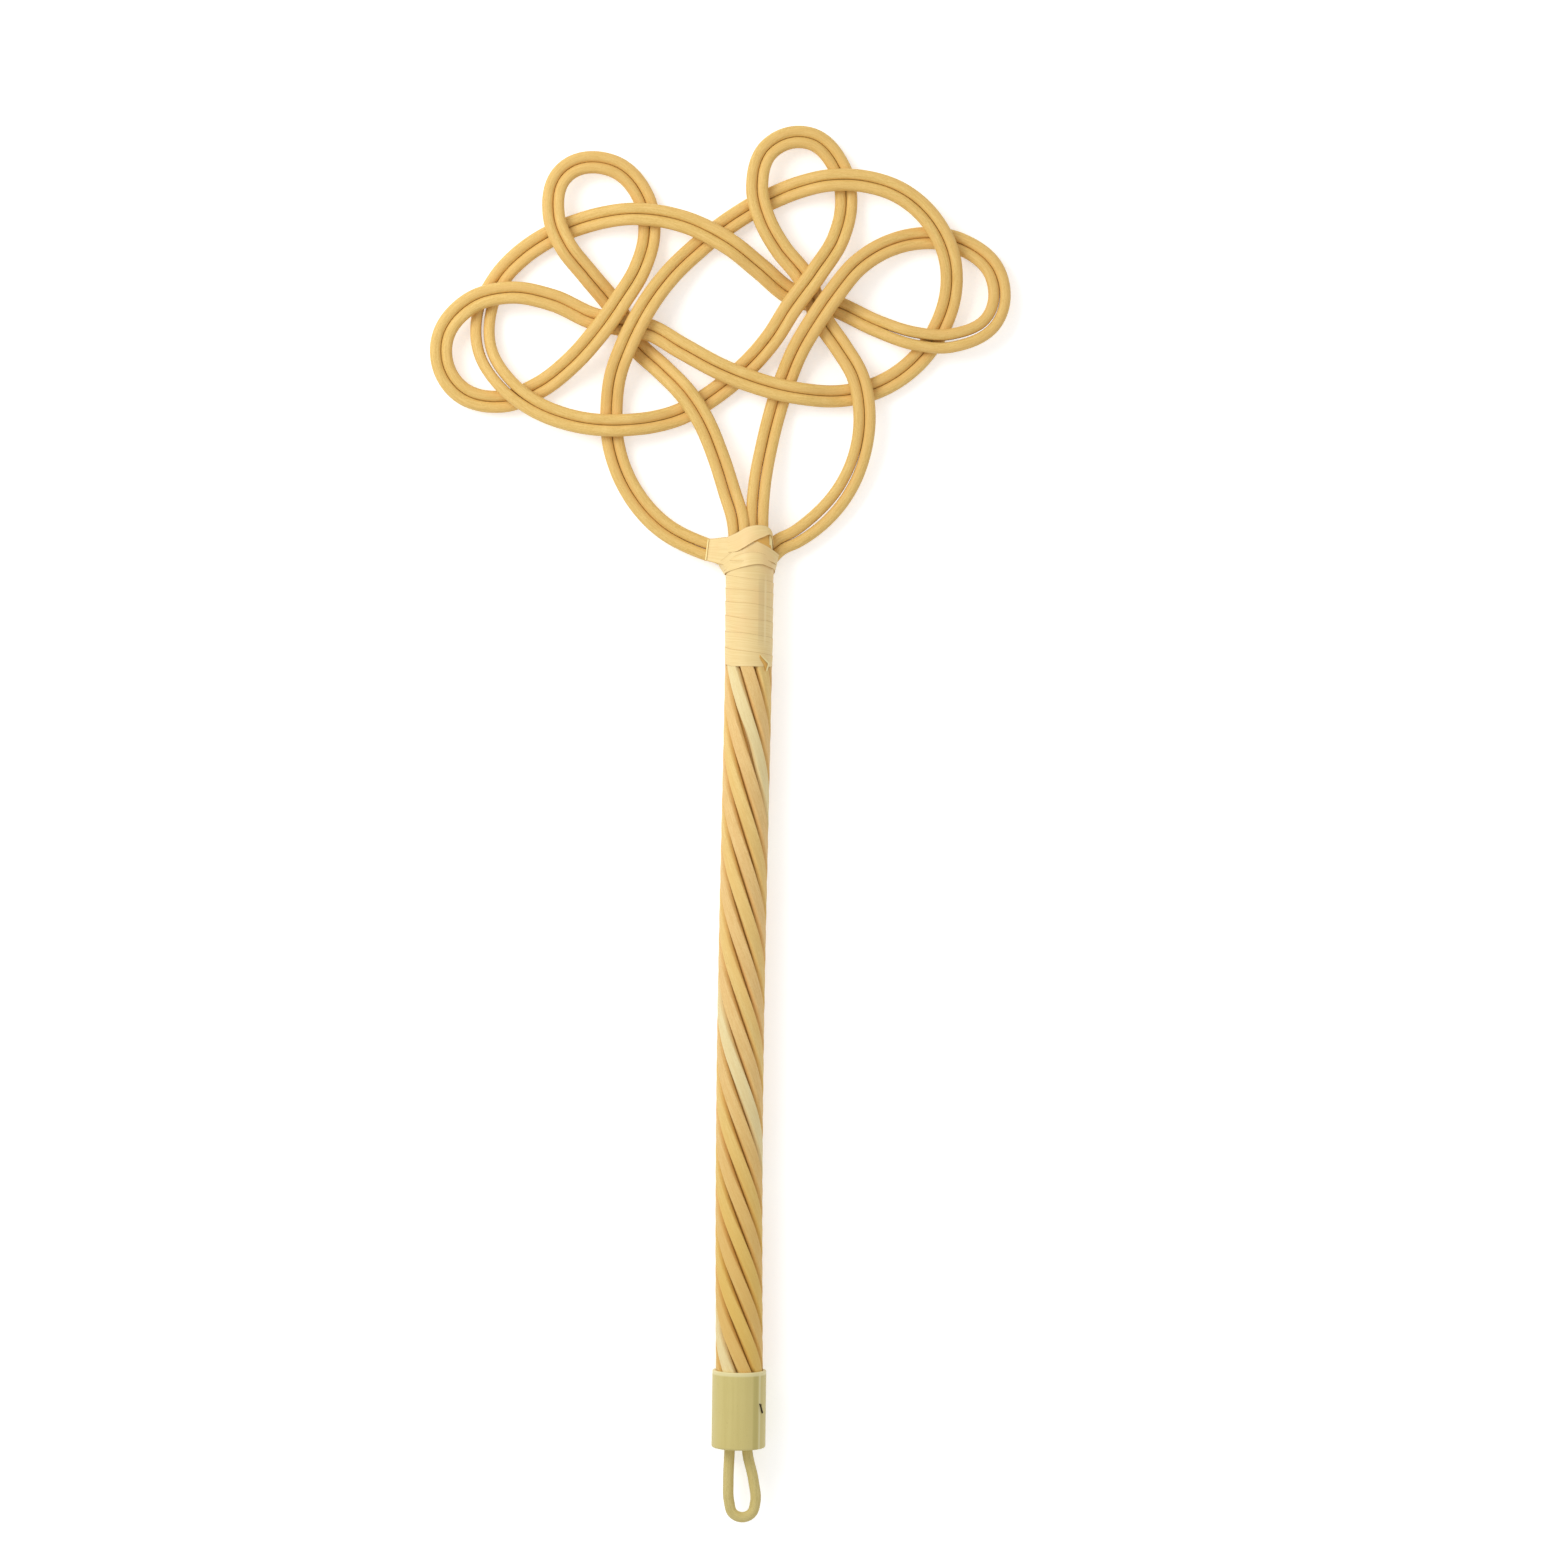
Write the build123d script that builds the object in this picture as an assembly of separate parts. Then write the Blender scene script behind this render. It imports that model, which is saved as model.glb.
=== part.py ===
"""A rattan carpet beater, lying flat with its handle along Y and its knotted head toward +Y.

Millimetres, +Z up. The origin is under the middle of the beater, on the surface it lies on.
Four long canes, laid in two pairs, are bent and woven into the knot of the head. Their eight
ends are bound in a ring at the neck, where they meet the eight twisted canes of the handle.
"""
from build123d import *
import math
import os

# The knot's canes and how they pass each other
knot_cane_diameter = 5.0
cane_clearance = 0.3
pair_clearance = 0.45

# The head, seen from above: x shares are of its width, y shares of its length from the neck
head_width = 257.0
head_length = 186.8

# Each row is x share, y share and level share: 1 is the top layer, -1 is the bottom one,
# and 0.5 over -0.5 is a plain crossing. A route is the line between its pair of canes.
first_route_shares = [
    # from the neck up the inner left leg, over the second pair and under the left cluster
    (-0.037, 0.125, 0.50), (-0.057, 0.215, 0.50), (-0.084, 0.300, 0.50), (-0.112, 0.358, 0.50),
    (-0.154, 0.418, -0.25), (-0.198, 0.474, -1.00), (-0.243, 0.575, -1.00), (-0.284, 0.640, -0.25),
    # round the upper left loop and back over the cluster
    (-0.324, 0.708, 0.50), (-0.343, 0.774, 0.50), (-0.325, 0.880, 0.17), (-0.246, 0.898, -0.17),
    (-0.189, 0.819, -0.50), (-0.180, 0.743, -0.50), (-0.195, 0.654, 0.25), (-0.228, 0.573, 1.00),
    (-0.263, 0.503, 1.00), (-0.311, 0.430, 0.25), (-0.368, 0.371, -0.50), (-0.426, 0.339, -0.50),
    # round the lobe at the far left and through the middle of the cluster
    (-0.506, 0.367, -0.17), (-0.533, 0.473, 0.17), (-0.486, 0.565, 0.50), (-0.418, 0.593, 0.50),
    (-0.343, 0.577, 0.25), (-0.272, 0.535, 0.00), (-0.227, 0.522, 0.00), (-0.182, 0.513, 0.00),
    # the sag across the head to the right, then the great arc over the top
    (-0.120, 0.467, 0.25), (-0.057, 0.421, 0.50), (0.006, 0.388, 0.50), (0.073, 0.366, 0.50),
    (0.162, 0.364, -0.50), (0.211, 0.381, -0.50), (0.251, 0.411, -0.50), (0.286, 0.454, -0.50),
    (0.320, 0.526, -0.50), (0.338, 0.607, 0.00), (0.334, 0.692, 0.50), (0.305, 0.773, 0.50),
    (0.251, 0.838, 0.50), (0.182, 0.867, 0.50), (0.128, 0.867, 0.50), (0.079, 0.853, 0.00),
    (0.033, 0.829, -0.50), (-0.032, 0.778, -0.50), (-0.091, 0.714, -0.50), (-0.145, 0.638, 0.25),
    # down over the cluster and round the lower left to the neck
    (-0.188, 0.550, 1.00), (-0.217, 0.468, 1.00), (-0.235, 0.398, 0.25), (-0.241, 0.324, -0.50),
    (-0.238, 0.250, -0.50), (-0.209, 0.140, -0.50), (-0.153, 0.050, -0.50), (-0.077, -0.003, -0.30),
    (-0.047, -0.016, -0.05),
]
second_route_shares = [
    # from the neck up the inner right leg and over the right cluster
    (0.016, 0.147, 0.70), (0.026, 0.241, 0.10), (0.042, 0.334, -0.50), (0.058, 0.403, -0.50),
    (0.077, 0.466, 0.25), (0.102, 0.525, 1.00), (0.140, 0.603, 1.00), (0.178, 0.668, 0.50),
    # round the lobe at the far right and under the cluster
    (0.229, 0.715, 0.00), (0.288, 0.737, -0.50), (0.353, 0.725, -0.50), (0.414, 0.654, -0.17),
    (0.411, 0.548, 0.17), (0.342, 0.494, 0.50), (0.278, 0.497, 0.50), (0.211, 0.529, -0.25),
    (0.147, 0.572, -1.00), (0.063, 0.604, -1.00), (0.010, 0.660, -0.25),
    # the arch over the left half and the great arc round its lower side
    (-0.044, 0.715, 0.50), (-0.122, 0.766, 0.50), (-0.208, 0.782, 0.50), (-0.260, 0.774, 0.00),
    (-0.310, 0.755, -0.50), (-0.358, 0.724, -0.50), (-0.400, 0.683, -0.50), (-0.435, 0.631, -0.50),
    (-0.462, 0.543, -0.50), (-0.458, 0.455, 0.00), (-0.423, 0.380, 0.50), (-0.374, 0.328, 0.50),
    (-0.322, 0.299, 0.50), (-0.266, 0.285, 0.50), (-0.214, 0.285, 0.50), (-0.169, 0.294, 0.00),
    (-0.125, 0.313, -0.50), (-0.063, 0.365, -0.50), (-0.008, 0.431, -0.50), (0.032, 0.494, 0.25),
    # over the cluster, round the upper right loop and back through the cluster
    (0.065, 0.565, 1.00), (0.107, 0.646, 1.00), (0.144, 0.731, 0.25), (0.157, 0.828, -0.50),
    (0.145, 0.900, -0.50), (0.093, 0.968, -0.17), (0.026, 0.943, 0.17), (0.004, 0.851, 0.50),
    (0.016, 0.778, 0.50), (0.045, 0.707, 0.25), (0.083, 0.645, 0.00), (0.120, 0.536, 0.00),
    # round the lower right to the neck
    (0.152, 0.473, 0.25), (0.180, 0.408, 0.50), (0.192, 0.335, 0.50), (0.187, 0.233, 0.20),
    (0.158, 0.136, -0.20), (0.108, 0.058, -0.30), (0.076, 0.026, -0.20), (0.050, 0.008, -0.05),
]

# The neck, where the eight cane ends stand in a ring; drops are below the neck's middle
cane_end_count = 8
ring_drop = 14.0
splice_drop = 35.2
# Name, route, side of the route, and the ring slots of its two ends, counted from the right
knot_canes = [
    ("knot_cane_left_1", first_route_shares, 1, 3, 5),
    ("knot_cane_left_2", first_route_shares, -1, 2, 4),
    ("knot_cane_right_1", second_route_shares, 1, 1, 7),
    ("knot_cane_right_2", second_route_shares, -1, 0, 6),
]

# The handle: twisted canes round a core
handle_cane_diameter = 5.2
handle_length = 308.8
twist_top_pitch = 170.0
twist_bottom_pitch = 132.0
twist_span_length = 11.5
core_top_drop = 22.0
binding_bottom_drop = 52.6

# The binding: one flat strip, wound twice across the crotch and then down the neck
strip_width = 5.7
strip_thickness = 0.5
strip_bedding = 0.27
strip_pitch = 6.35
strip_start_angle = 250.0
strip_steps_per_turn = 24
strip_last_turn = 8.55
# Turn count, drop of the strip's middle as a share of its pitch, rise off the ring as a share
# of a knot cane's thickness, and lean outward in degrees
crotch_row_shares = [
    # under the outer left leg, then over the front and up to the right, on top of the next pass
    (0.05, 1.65, 0.40, 0), (0.10, 1.57, 0.78, 35), (0.15, 1.39, 1.18, 58), (0.20, 1.10, 0.92, 50),
    (0.25, 0.76, 0.56, 30), (0.32, 0.31, 0.32, 5), (0.38, -0.06, 0.26, 0), (0.45, -0.47, 0.26, 0),
    (0.50, -0.74, 0.26, 0), (0.57, -1.06, 0.26, 0), (0.63, -1.29, 0.22, 0), (0.70, -1.53, 0.06, 0),
    (0.76, -1.62, 0.00, 0), (0.82, -1.64, 0.00, 0), (0.95, -1.54, 0.00, 0), (1.07, -1.35, 0.00, 0),
    # over the inner left leg, then across the front and under the outer right leg
    (1.15, -1.20, 0.34, 0), (1.20, -1.10, 0.38, 0), (1.25, -0.85, 0.20, 0), (1.32, -0.38, 0.00, 0),
    (1.38, 0.03, 0.00, 0), (1.45, 0.38, 0.00, 0), (1.50, 0.58, 0.00, 0), (1.57, 0.77, 0.00, 0),
    (1.63, 0.88, 0.16, 10), (1.70, 1.02, 0.58, 35), (1.75, 1.10, 0.70, 45), (1.80, 1.17, 0.48, 35),
    (1.87, 1.28, 0.12, 10), (1.95, 1.46, 0.02, 0),
    # the first turn below the crotch
    (2.00, 1.61, 0.04, 0), (2.05, 1.75, 0.06, 5), (2.10, 1.91, 0.18, 22), (2.15, 2.00, 0.28, 25),
    (2.20, 2.03, 0.12, 10), (2.26, 2.00, 0.02, 0), (2.32, 1.92, 0.00, 0), (2.45, 1.78, 0.00, 0),
    (2.57, 1.89, 0.00, 0), (2.65, 2.02, 0.02, 0), (2.70, 2.09, 0.06, 5), (2.75, 2.17, 0.10, 10),
    (2.80, 2.25, 0.06, 5), (2.87, 2.38, 0.00, 0), (2.95, 2.54, 0.00, 0),
]
# Turn count and drop share of a turn, as every turn below repeats it one pitch lower
repeated_row_shares = [
    (2.05, 1.75), (2.15, 1.97), (2.22, 2.03), (2.32, 1.94), (2.45, 1.83),
    (2.57, 1.89), (2.70, 2.09), (2.80, 2.25), (2.95, 2.54),
]
# Points over the strip's width, and between two steps, where its gap to itself is measured
gap_samples_across = 7
gap_samples_along = 4
gap_least_turn = 0.4
gap_reach_turn = 1.3

# The end cap, the staple through its wall and the hanging loop
cap_length = 34.0
cap_wall = 1.3
cap_floor = 2.0
cap_rim_radius = 0.5
cap_foot_radius = 1.0
cap_cavity_length = 10.0
staple_wire_diameter = 0.6
staple_crown_length = 4.0
staple_bend_radius = 0.5
staple_bite_length = 3.0
staple_drop_in_cap = 15.8
staple_angle = 34.0
staple_clearance = 0.12
loop_cane_diameter = 4.7
loop_leg_spacing = 7.7
loop_width = 11.4
loop_reach = 30.8
loop_hole_clearance = 0.15
cut_overrun = 1.0
# Each row is a share of the loop's width and of its reach below the cap
loop_route_shares = [
    (-0.37, 0.48), (-0.33, 0.78), (-0.18, 0.945), (0.175, 1.0),
    (0.53, 0.945), (0.68, 0.78), (0.60, 0.48),
]

# Worked out from the sizes above
pair_offset = (knot_cane_diameter + pair_clearance) / 2
layer_step = knot_cane_diameter + cane_clearance
slot_angle = 360 / cane_end_count
slot_chord_share = 2 * math.sin(math.radians(slot_angle / 2))
cane_spacing = handle_cane_diameter + cane_clearance
lead_sine = 2 * math.pi * cane_spacing / (slot_chord_share * twist_bottom_pitch)
ring_radius = cane_spacing / (slot_chord_share * math.sqrt(1 - lead_sine ** 2))
ring_outer_radius = ring_radius + handle_cane_diameter / 2
core_radius = ring_radius - handle_cane_diameter / 2 - cane_clearance
cap_bore_radius = ring_outer_radius + cane_clearance
cap_radius = cap_bore_radius + cap_wall
axis_height = cap_radius
knot_height = knot_cane_diameter / 2 + layer_step
strip_base_radius = ring_outer_radius + strip_bedding + strip_thickness / 2
cap_top_drop = binding_bottom_drop + handle_length
cap_bottom_drop = cap_top_drop + cap_length
handle_bottom_drop = cap_bottom_drop - cap_floor - cap_cavity_length
straight_share = 1e-6


def plan_directions(points):
    """Direction in plan at each point, from the circle through it and its neighbours."""
    chords = [(Vector(b[0] - a[0], b[1] - a[1])) for a, b in zip(points, points[1:])]
    inner = [
        (before.normalized() * after.length + after.normalized() * before.length).normalized()
        for before, after in zip(chords, chords[1:])
    ]
    first = mirrored(inner[0], chords[0])
    last = mirrored(inner[-1], chords[-1])
    return [first] + inner + [last]


def mirrored(direction, chord):
    """The direction at the other end of the arc over a chord."""
    along = chord.normalized()
    return along * (2 * direction.dot(along)) - direction


def height_slopes(points):
    """Rise per millimetre at each point, level wherever a layer begins, ends or turns back."""
    rises = []
    for a, b in zip(points, points[1:]):
        rises.append((b[2] - a[2]) / math.hypot(b[0] - a[0], b[1] - a[1]))
    slopes = [0.0]
    for before, after in zip(rises, rises[1:]):
        same_way = before * after > 0
        slopes.append(2 * before * after / (before + after) if same_way else 0.0)
    return slopes + [0.0]


def biarc(start, start_direction, end, end_direction):
    """Two tangent arcs from start to end that keep the direction at each end."""
    chord = end - start
    both = start_direction + end_direction
    turn = 1 - start_direction.dot(end_direction)
    if chord.normalized().cross(start_direction).length + turn < straight_share:
        return [Edge.make_line(start, end)]
    along = chord.dot(both)
    if turn < straight_share:
        reach = chord.length ** 2 / (2 * along)
    else:
        reach = (math.sqrt(along ** 2 + 2 * turn * chord.length ** 2) - along) / (2 * turn)
    first = start + start_direction * reach
    second = end - end_direction * reach
    middle = (first + second) / 2
    return [
        Edge.make_tangent_arc(start, start_direction, middle),
        Edge.make_tangent_arc(middle, second - first, end),
    ]


def bent_cane(points, directions, diameter):
    """A round cane along tangent arcs through the points."""
    edges = []
    for a, along_a, b, along_b in zip(points, directions, points[1:], directions[1:]):
        edges += biarc(a, along_a, b, along_b)
    section = Plane(origin=points[0], z_dir=directions[0]) * Circle(diameter / 2)
    return sweep(section, path=Wire(edges))


def ring_point(slot, drop):
    """A place in the ring of cane ends, at a drop below the neck's middle."""
    angle = math.radians((slot + 1 / 2) * slot_angle)
    return (ring_radius * math.cos(angle), -drop, axis_height + ring_radius * math.sin(angle))


def knot_cane_points(route_shares, side, start_slot, end_slot):
    """The points of one cane of a pair, from its end in the ring round the knot and back."""
    plan = [(x * head_width, y * head_length) for x, y, level in route_shares]
    points = [ring_point(start_slot, splice_drop), ring_point(start_slot, ring_drop)]
    for (x, y), along, (_, _, level) in zip(plan, plan_directions(plan), route_shares):
        shift = side * pair_offset
        points.append((x - shift * along.Y, y + shift * along.X, knot_height + level * layer_step))
    points += [ring_point(end_slot, ring_drop), ring_point(end_slot, splice_drop)]
    return points


def knot_cane_directions(points):
    """The directions of a knot cane, straight where it stands in the ring."""
    directions = []
    for flat, slope in zip(plan_directions(points), height_slopes(points)):
        directions.append(Vector(flat.X, flat.Y, slope).normalized())
    up = Vector(0, 1, 0)
    return [up, up] + directions[2:-2] + [-up, -up]


def knot_cane(route_shares, side, start_slot, end_slot):
    points = knot_cane_points(route_shares, side, start_slot, end_slot)
    places = [Vector(*point) for point in points]
    return bent_cane(places, knot_cane_directions(points), knot_cane_diameter)


def eased(share):
    """A share from 0 to 1 that starts and ends level."""
    inside = min(max(share, 0), 1)
    return inside * inside * (3 - 2 * inside)


def cylinder_between(top_drop, bottom_drop, radius, x=0.0, height=axis_height):
    """A cylinder along Y between two drops below the neck's middle."""
    length = bottom_drop - top_drop
    upright = Cylinder(radius, length, align=(Align.CENTER, Align.CENTER, Align.MIN))
    return Pos(x, -bottom_drop, height) * Rot(-90, 0, 0) * upright


def twist_rate(drop):
    """Turn of the handle's canes round the axis, in radians per millimetre of drop."""
    share = min(max((drop - binding_bottom_drop) / handle_length, 0), 1)
    pitch = twist_top_pitch + (twist_bottom_pitch - twist_top_pitch) * share
    begun = eased((drop - splice_drop) / (binding_bottom_drop - splice_drop))
    ended = eased((handle_bottom_drop - drop) / (handle_bottom_drop - cap_top_drop))
    return 2 * math.pi / pitch * begun * ended


def twist_stations():
    """Drops and angles turned, from the splice to the handle's lower end."""
    top = splice_drop + cane_clearance
    span_count = math.ceil((handle_bottom_drop - top) / twist_span_length)
    step = (handle_bottom_drop - top) / span_count
    stations = [(top, 0.0)]
    for _ in range(span_count):
        drop, turned = stations[-1]
        ends = twist_rate(drop) + twist_rate(drop + step)
        turned += (ends + 4 * twist_rate(drop + step / 2)) / 6 * step
        stations.append((drop + step, turned))
    return stations


def handle_cane(slot):
    """One twisted cane of the handle, starting below a cane end of the knot."""
    points = []
    directions = []
    for drop, turned in twist_stations():
        angle = math.radians((slot + 1 / 2) * slot_angle) - turned
        across = ring_radius * math.cos(angle)
        up = ring_radius * math.sin(angle)
        rate = twist_rate(drop)
        points.append(Vector(across, -drop, axis_height + up))
        directions.append(Vector(up * rate, -1, -across * rate).normalized())
    return bent_cane(points, directions, handle_cane_diameter)


def strip_rows():
    """Every row of the strip's course, the repeated turns included."""
    rows = []
    for turn, drop_share, rise_share, lean in crotch_row_shares:
        rows.append((turn, drop_share * strip_pitch, rise_share * knot_cane_diameter, lean))
    turn_count = math.ceil(strip_last_turn) - 2
    for number in range(1, turn_count):
        for turn, drop_share in repeated_row_shares:
            rows.append((turn + number, (drop_share + number) * strip_pitch, 0.0, 0))
    return rows


def strip_course(rows, turn):
    """Drop, rise and lean at a turn count, on smooth curves through the rows."""
    place = max(i for i in range(len(rows) - 1) if rows[i][0] <= turn)
    values = []
    for column in (1, 2, 3):
        slopes = []
        for i in (place, place + 1):
            before = rows[max(i - 1, 0)]
            after = rows[min(i + 1, len(rows) - 1)]
            here = rows[i]
            gap_before = max(here[0] - before[0], straight_share)
            gap_after = max(after[0] - here[0], straight_share)
            rise_before = (here[column] - before[column]) / gap_before
            rise_after = (after[column] - here[column]) / gap_after
            both = gap_before + gap_after
            slopes.append((rise_before * gap_after + rise_after * gap_before) / both)
        start = rows[place]
        end = rows[place + 1]
        gap = end[0] - start[0]
        along = (turn - start[0]) / gap
        bend = slopes[0] * (1 - along) - slopes[1] * along
        straight = start[column] + (end[column] - start[column]) * eased(along)
        values.append(straight + gap * along * (1 - along) * bend)
    return values


def strip_middle(rows, turn):
    """The middle of the strip at a turn count."""
    drop, rise, lean = strip_course(rows, turn)
    angle = math.radians(strip_start_angle - 360 * turn)
    radius = strip_base_radius + rise
    return Vector(radius * math.cos(angle), -drop, axis_height + radius * math.sin(angle))


def strip_planes():
    """A plane square to the strip at every step of its course."""
    rows = strip_rows()
    step = 1 / strip_steps_per_turn
    step_count = round((strip_last_turn - rows[0][0]) / step)
    turns = [rows[0][0] + number * step for number in range(step_count + 1)]
    middles = [strip_middle(rows, turn) for turn in turns]
    planes = []
    for number, turn in enumerate(turns):
        behind = middles[max(number - 1, 0)]
        ahead = middles[min(number + 1, step_count)]
        run = (ahead - behind).normalized()
        lean = math.radians(strip_course(rows, turn)[2])
        angle = math.radians(strip_start_angle - 360 * turn)
        outward = Vector(math.cos(angle), 0, math.sin(angle))
        width = Vector(0, 1, 0) * math.cos(lean) + outward * math.sin(lean)
        width = (width - run * width.dot(run)).normalized()
        planes.append(Plane(origin=middles[number], x_dir=width, z_dir=run))
    return planes


def wound_strip(planes):
    """The flat strip through all its planes."""
    sections = [plane * Rectangle(strip_width, strip_thickness) for plane in planes]
    return loft(sections, ruled=True)


def strip_gap(planes):
    """The least distance between parts of the strip that are not next to each other along it."""
    samples = []
    for number, (plane, following) in enumerate(zip(planes, planes[1:])):
        for across in range(gap_samples_across):
            share = across / (gap_samples_across - 1) - 1 / 2
            for face in (-1 / 2, 1 / 2):
                start = plane.origin + plane.x_dir * (share * strip_width)
                start += plane.y_dir * (face * strip_thickness)
                end = following.origin + following.x_dir * (share * strip_width)
                end += following.y_dir * (face * strip_thickness)
                for along in range(gap_samples_along):
                    place = start + (end - start) * (along / gap_samples_along)
                    turn = (number + along / gap_samples_along) / strip_steps_per_turn
                    samples.append((turn, (place.X, place.Y, place.Z)))
    samples.sort()
    least = math.inf
    for i, (turn, place) in enumerate(samples):
        for other_turn, other in samples[i + 1:]:
            if other_turn - turn > gap_reach_turn:
                break
            if other_turn - turn > gap_least_turn:
                least = min(least, math.dist(place, other))
    return least


def staple_place(drop, radius):
    """A place at a radius from the axis, at the staple's angle round it."""
    angle = math.radians(staple_angle)
    return Vector(radius * math.cos(angle), -drop, axis_height + radius * math.sin(angle))


def staple_path(crown_radius, tip_radius):
    """The line of the staple: a crown along the cap and two legs inward."""
    middle = cap_top_drop + staple_drop_in_cap
    upper = middle - staple_crown_length / 2
    lower = middle + staple_crown_length / 2
    corners = [
        staple_place(upper, tip_radius),
        staple_place(upper, crown_radius),
        staple_place(lower, crown_radius),
        staple_place(lower, tip_radius),
    ]
    return FilletPolyline(*corners, radius=staple_bend_radius)


def staple_wire(radius, tip_radius):
    """A wire along the staple's line, its crown flush with the outside of the cap."""
    path = staple_path(cap_radius - staple_wire_diameter / 2, tip_radius)
    section = Plane(origin=path @ 0, z_dir=path % 0) * Circle(radius)
    return sweep(section, path=path)


def staple():
    return staple_wire(staple_wire_diameter / 2, ring_outer_radius - staple_bite_length)


def staple_bed():
    """The groove and the two holes that the staple is pressed into."""
    tip_radius = ring_outer_radius - staple_bite_length - staple_clearance
    return staple_wire(staple_wire_diameter / 2 + staple_clearance, tip_radius)


def cap():
    """The end cap: a thin cup with holes for the loop and the staple."""
    outside = cylinder_between(cap_top_drop, cap_bottom_drop, cap_radius)
    rims = outside.edges().filter_by(GeomType.CIRCLE).sort_by(Axis.Y)
    outside = fillet(rims[-1], cap_rim_radius)
    feet = outside.edges().filter_by(GeomType.CIRCLE).sort_by(Axis.Y)
    outside = fillet(feet[0], cap_foot_radius)
    floor_drop = cap_bottom_drop - cap_floor
    cup = outside - cylinder_between(cap_top_drop - cut_overrun, floor_drop, cap_bore_radius)
    hole_radius = loop_cane_diameter / 2 + loop_hole_clearance
    for side in (-1, 1):
        x = side * loop_leg_spacing / 2
        cup -= cylinder_between(floor_drop - cut_overrun, cap_bottom_drop + cut_overrun, hole_radius, x)
    return cup - staple_bed()


def loop():
    """The hanging loop: one cane bent round, with both ends inside the cap."""
    end_drop = handle_bottom_drop + cane_clearance
    half = loop_leg_spacing / 2
    points = [Vector(-half, -end_drop, axis_height), Vector(-half, -cap_bottom_drop, axis_height)]
    for x, reach in loop_route_shares:
        points.append(Vector(x * loop_width, -cap_bottom_drop - reach * loop_reach, axis_height))
    points += [Vector(half, -cap_bottom_drop, axis_height), Vector(half, -end_drop, axis_height)]
    down = Vector(0, -1, 0)
    bends = plan_directions([(point.X, point.Y) for point in points])
    directions = [down, down] + bends[2:-2] + [-down, -down]
    return bent_cane(points, directions, loop_cane_diameter)


pieces = {}
for name, route_shares, side, start_slot, end_slot in knot_canes:
    pieces[name] = knot_cane(route_shares, side, start_slot, end_slot)
for slot in range(cane_end_count):
    pieces[f"handle_cane_{slot + 1}"] = handle_cane(slot) - staple_bed()
pieces["handle_core"] = cylinder_between(core_top_drop, handle_bottom_drop, core_radius)
planes_of_strip = strip_planes()
pieces["neck_binding"] = wound_strip(planes_of_strip)
pieces["end_cap"] = cap()
pieces["cap_staple"] = staple()
pieces["hanging_loop"] = loop()

# The origin is under the middle of the box round the whole beater
boxes = [piece.bounding_box() for piece in pieces.values()]
middle_x = (min(box.min.X for box in boxes) + max(box.max.X for box in boxes)) / 2
middle_y = (min(box.min.Y for box in boxes) + max(box.max.Y for box in boxes)) / 2
lowest = min(box.min.Z for box in boxes)
place = Pos(-middle_x, -middle_y, -lowest)

os.makedirs("parts", exist_ok=True)
for name, piece in pieces.items():
    export_step(place * piece, f"parts/{name}.step")
    print(name, "volume", round(piece.volume), "solids", len(piece.solids()), "sound", piece.is_valid)
print("width", round(max(box.max.X for box in boxes) - min(box.min.X for box in boxes), 1))
print("length", round(max(box.max.Y for box in boxes) - min(box.min.Y for box in boxes), 1))
print("height", round(max(box.max.Z for box in boxes) - lowest, 1))
print("moved by", round(-middle_x, 3), round(-middle_y, 3), round(-lowest, 3))
print("least gap of the strip to itself", round(strip_gap(planes_of_strip), 2))
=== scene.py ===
"""A rattan carpet beater lying flat, as seen from straight above.

Sizes are in millimetres until a point is placed; the floor, the lamp and the camera stand in
metres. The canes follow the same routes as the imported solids, but for the inner legs' last
centimetre above the binding and the handle's slight bow. The neck's middle is where the canes
enter the binding, on the handle's axis.
"""
import math

import bpy
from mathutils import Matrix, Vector
from mathutils.geometry import interpolate_bezier


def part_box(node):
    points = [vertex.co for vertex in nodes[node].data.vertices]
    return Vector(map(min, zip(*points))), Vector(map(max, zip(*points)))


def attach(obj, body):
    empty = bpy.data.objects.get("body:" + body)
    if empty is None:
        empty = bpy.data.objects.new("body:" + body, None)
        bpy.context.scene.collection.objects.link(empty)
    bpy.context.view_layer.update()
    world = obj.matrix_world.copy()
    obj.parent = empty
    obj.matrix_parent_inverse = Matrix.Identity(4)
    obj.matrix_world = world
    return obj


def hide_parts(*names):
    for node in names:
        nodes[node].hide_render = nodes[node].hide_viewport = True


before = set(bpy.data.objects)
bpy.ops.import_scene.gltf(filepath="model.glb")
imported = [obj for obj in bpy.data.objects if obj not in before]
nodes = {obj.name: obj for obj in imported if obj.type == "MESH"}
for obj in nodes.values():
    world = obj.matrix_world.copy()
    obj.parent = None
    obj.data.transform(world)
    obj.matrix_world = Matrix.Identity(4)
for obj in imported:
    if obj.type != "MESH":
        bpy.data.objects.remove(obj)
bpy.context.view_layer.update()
bpy.ops.object.select_all(action="DESELECT")

millimetre = 0.001

# Drops below the neck's middle of what lies along the neck and the handle
ring_drop = 14.0
splice_drop = 35.2
binding_bottom_drop = 52.6
cap_top_drop = 361.4
handle_bottom_drop = 383.4
cap_bottom_drop = 395.4

cap_low, cap_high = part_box("end_cap")
cap_radius = (cap_high.x - cap_low.x) / 2 / millimetre
axis_height = (cap_low.z + cap_high.z) / 2 / millimetre
axis_x = (cap_low.x + cap_high.x) / 2 / millimetre
neck = Vector((axis_x, cap_low.y / millimetre + cap_bottom_drop, 0.0))

# The ring in which the cane ends stand in the neck, and the handle's canes after them
cane_end_count = 8
slot_angle = 360 / cane_end_count
ring_radius = 7.647
end_gap = 0.3

# How closely curves are followed, seams welded and edges kept sharp
curve_step = 0.4
weld_distance = 0.01
rod_smooth_angle = 50
ribbon_smooth_angle = 40


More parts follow.
